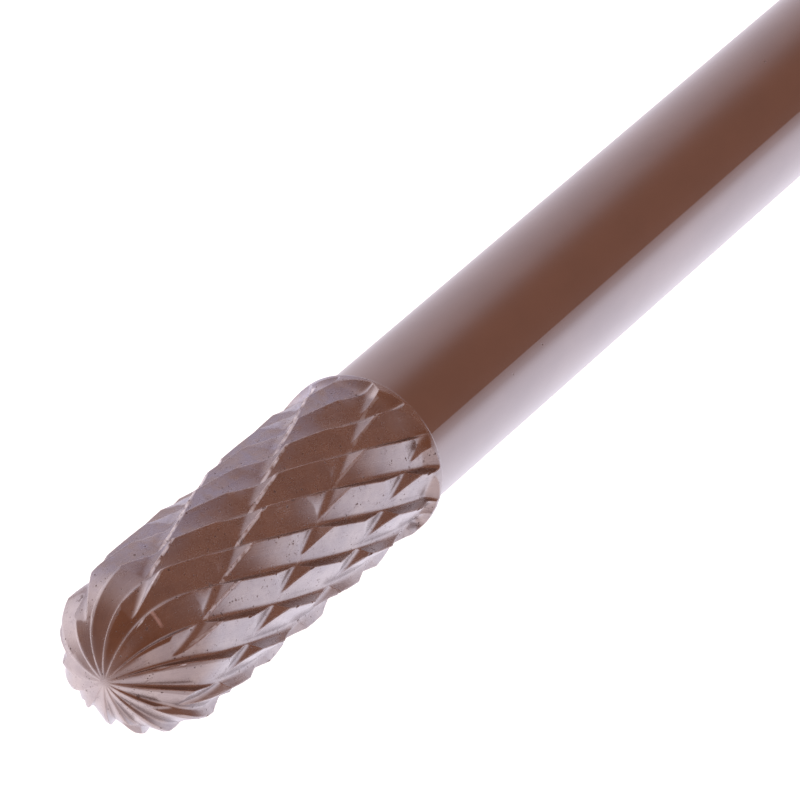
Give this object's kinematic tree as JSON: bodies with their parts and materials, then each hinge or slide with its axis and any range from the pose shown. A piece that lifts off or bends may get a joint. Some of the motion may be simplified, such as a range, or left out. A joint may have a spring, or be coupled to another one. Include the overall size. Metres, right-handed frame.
{
  "type": "carbide burr",
  "caption": "Ball-nosed cylindrical double-cut carbide burr, brazed to a plain straight steel shank for a grinder collet.",
  "frame": {"origin": "centre of the shank's flat end", "axes": "+Z along the burr's axis from the shank's end to the ball nose; +X through a tooth crest at the head's rear face"},
  "size_m": [0.0068, 0.0068, 0.064],
  "materials": {
    "carbide": "ground, satin",
    "steel": "ground, smooth"
  },
  "bodies": {
    "root": {"carbide_head": "carbide", "steel_shank": "steel"}
  },
  "joints": []
}
